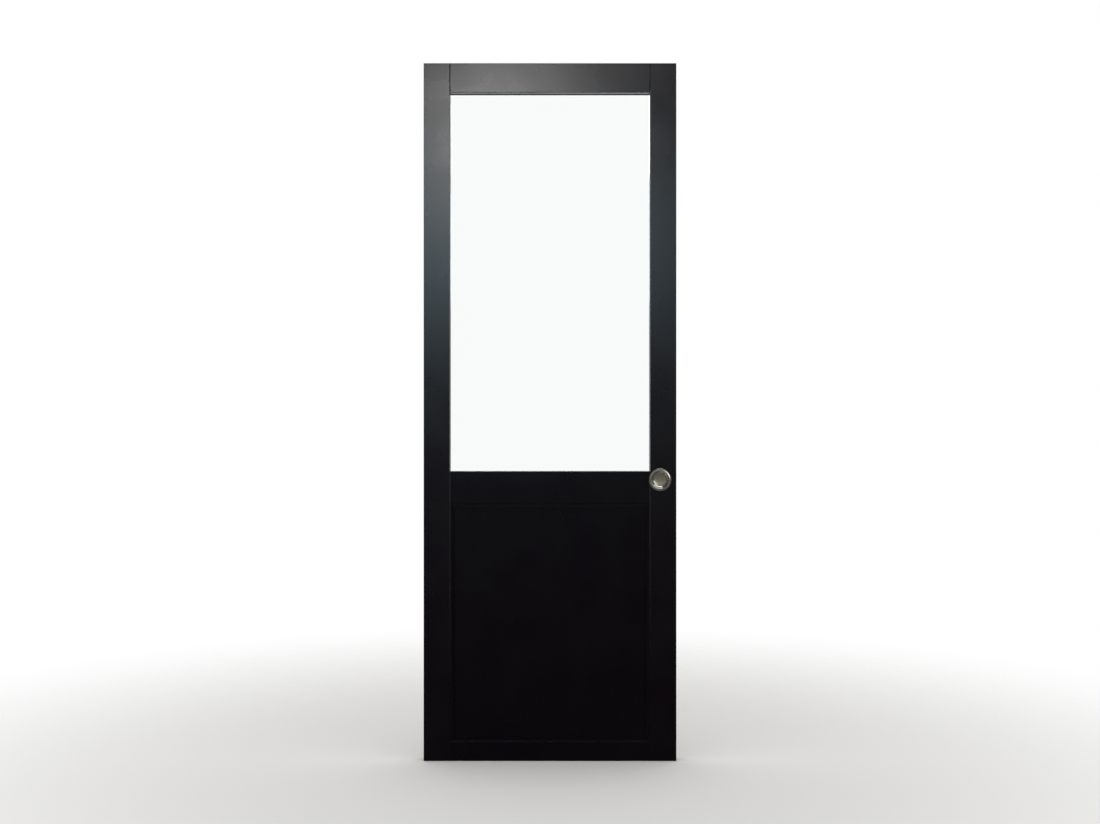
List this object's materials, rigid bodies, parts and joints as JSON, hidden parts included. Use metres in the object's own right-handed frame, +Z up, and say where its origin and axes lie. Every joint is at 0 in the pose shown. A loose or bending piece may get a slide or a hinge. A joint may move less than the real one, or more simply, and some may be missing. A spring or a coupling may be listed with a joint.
{
  "type": "half-glazed sliding door leaf",
  "caption": "Half-glazed sliding door leaf in satin black lacquer: stile-and-rail frame, clear pane above, recessed panel with bevelled mouldings below, round flush pulls.",
  "frame": {"origin": "middle of the leaf's underside", "axes": "+X across the leaf to the right seen from the front, +Y from the front face to the back face, +Z up"},
  "size_m": [0.73, 0.044, 2.015],
  "materials": {
    "black_lacquer": "satin black sprayed lacquer on timber",
    "beech": "bare beech",
    "float_glass": "clear float glass",
    "setting_block": "moulded plastic",
    "glazing_tape": "black closed-cell foam tape",
    "polished_nickel": "polished nickel plate on pressed metal"
  },
  "bodies": {
    "root": {"left_stile": "black_lacquer", "right_stile": "black_lacquer", "top_rail": "black_lacquer", "lock_rail": "black_lacquer", "bottom_rail": "black_lacquer", "top_rail_dowels": "beech", "lock_rail_dowels": "beech", "bottom_rail_dowels": "beech", "lower_panel": "black_lacquer", "front_moulding_bottom": "black_lacquer", "front_moulding_right": "black_lacquer", "front_moulding_top": "black_lacquer", "front_moulding_left": "black_lacquer", "back_moulding_bottom": "black_lacquer", "back_moulding_right": "black_lacquer", "back_moulding_top": "black_lacquer", "back_moulding_left": "black_lacquer", "glass_pane": "float_glass", "setting_blocks": "setting_block", "front_glazing_tape": "glazing_tape", "back_glazing_tape": "glazing_tape", "glazing_bead_bottom": "black_lacquer", "glazing_bead_right": "black_lacquer", "glazing_bead_top": "black_lacquer", "glazing_bead_left": "black_lacquer", "front_flush_pull": "polished_nickel", "back_flush_pull": "polished_nickel"}
  },
  "joints": []
}
